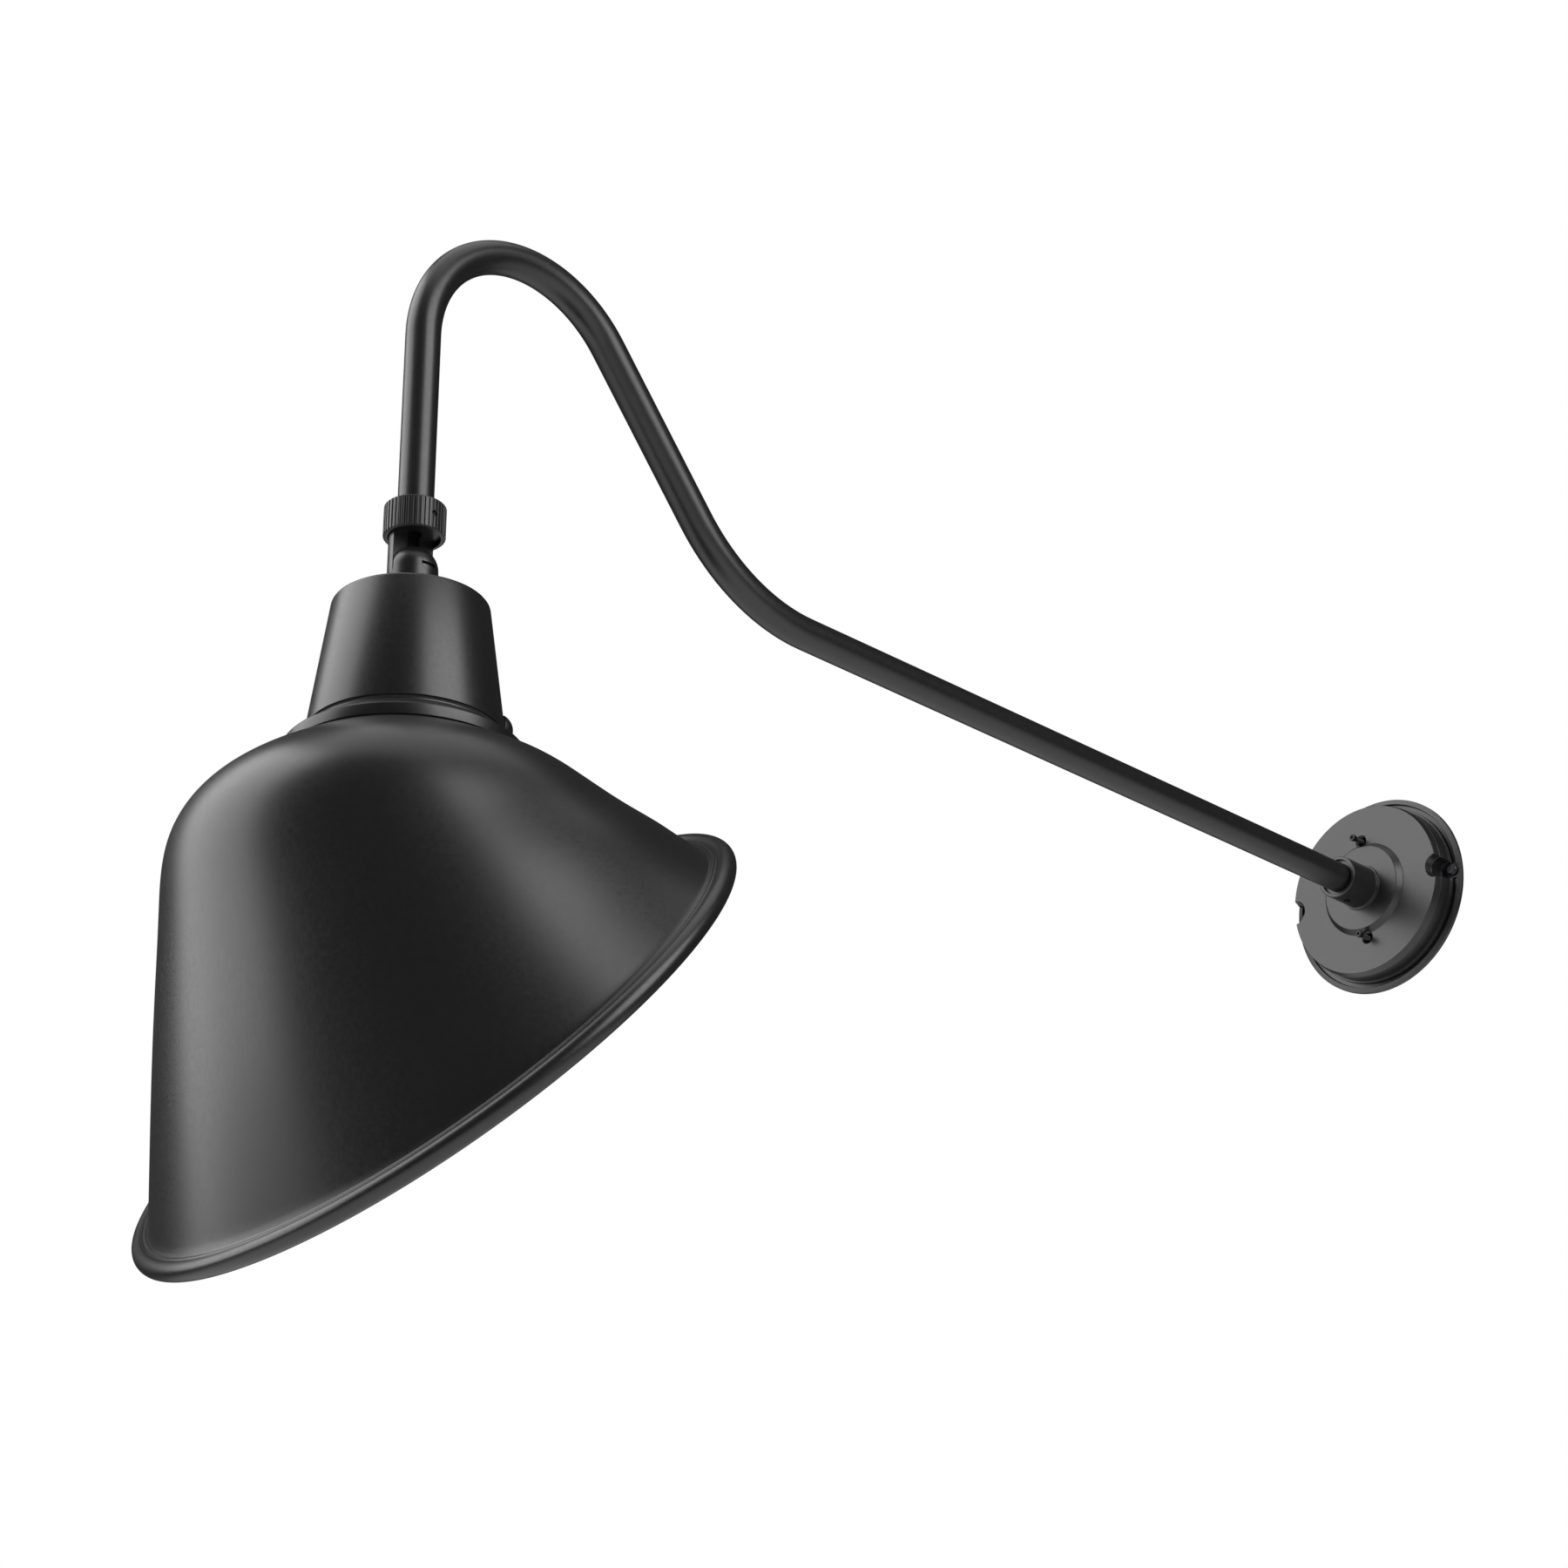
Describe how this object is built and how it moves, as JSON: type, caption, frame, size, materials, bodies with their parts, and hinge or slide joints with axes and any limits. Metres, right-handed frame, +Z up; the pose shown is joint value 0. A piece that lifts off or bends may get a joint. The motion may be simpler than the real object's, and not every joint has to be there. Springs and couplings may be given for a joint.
{
  "type": "swing arm wall lamp",
  "caption": "Wall lamp with a round canopy, fixed gooseneck pipe arm, knurled collar, tilting half-lap swivel and an angled dish shade with a rolled rim.",
  "frame": {"origin": "where the arm socket's axis meets the wall, in the plane of the gasket's back, which is also the centre of the box screw holes", "axes": "+X right when facing the wall, +Y into the wall, +Z up; the lamp reaches out along -Y"},
  "size_m": [0.398, 1.0601, 0.695],
  "materials": {
    "black_coat": "satin black powder coat",
    "white_coat": "matt white reflector enamel",
    "gasket_foam": "closed-cell black foam rubber",
    "screw_black": "black oxide screws",
    "screw_steel": "zinc-plated steel",
    "screw_brass": "brass earth screw",
    "washer_fibre": "natural nylon washer",
    "driver_case": "off-white driver case",
    "sink_alu": "die-cast aluminium heat sink",
    "board_white": "white circuit board",
    "chip_yellow": "phosphor-coated light chips",
    "lens_opal": "opal diffuser"
  },
  "bodies": {
    "wall_arm": {"wall_gasket": "gasket_foam", "back_plate": "black_coat", "ground_screw": "screw_brass", "flange_screws": "screw_black", "canopy_cover": "black_coat", "cover_screws": "screw_black", "socket_set_screw": "screw_black", "arm_tube": "black_coat"},
    "collar": {"knurled_collar": "black_coat", "collar_set_screw": "screw_black"},
    "swivel": {"swivel_upper": "black_coat", "pivot_screw": "screw_black", "friction_washer": "washer_fibre"},
    "head": {"knuckle": "black_coat", "knuckle_seal": "gasket_foam", "hub_locknut": "screw_steel", "hub_housing": "black_coat", "hub_side_plug": "black_coat", "led_driver": "driver_case", "terminal_block": "driver_case", "hub_gasket": "gasket_foam", "fitter_ring": "black_coat", "hub_screws": "screw_steel", "heat_sink": "sink_alu", "led_board": "board_white", "led_chips": "chip_yellow", "reflector": "white_coat", "lens": "lens_opal", "lens_bezel": "black_coat", "bezel_screws": "screw_black", "shade_gasket": "gasket_foam", "shade": "black_coat", "shade_rim": "black_coat", "clamp_ring": "black_coat", "clamp_screws": "screw_black"}
  },
  "joints": [
    {"name": "collar_turn", "type": "hinge", "parent": "wall_arm", "child": "collar", "pos_m": [0, -0.92882, -0.04723], "axis": [0, 0, 1], "continuous": true},
    {"name": "head_pan", "type": "hinge", "parent": "wall_arm", "child": "swivel", "pos_m": [0, -0.92882, -0.04723], "axis": [0, 0, 1], "range_deg": [-170, 170]},
    {"name": "head_tilt", "type": "hinge", "parent": "swivel", "child": "head", "pos_m": [0, -0.92882, -0.07603], "axis": [1, 0, 0], "range_deg": [-60, 60]}
  ]
}
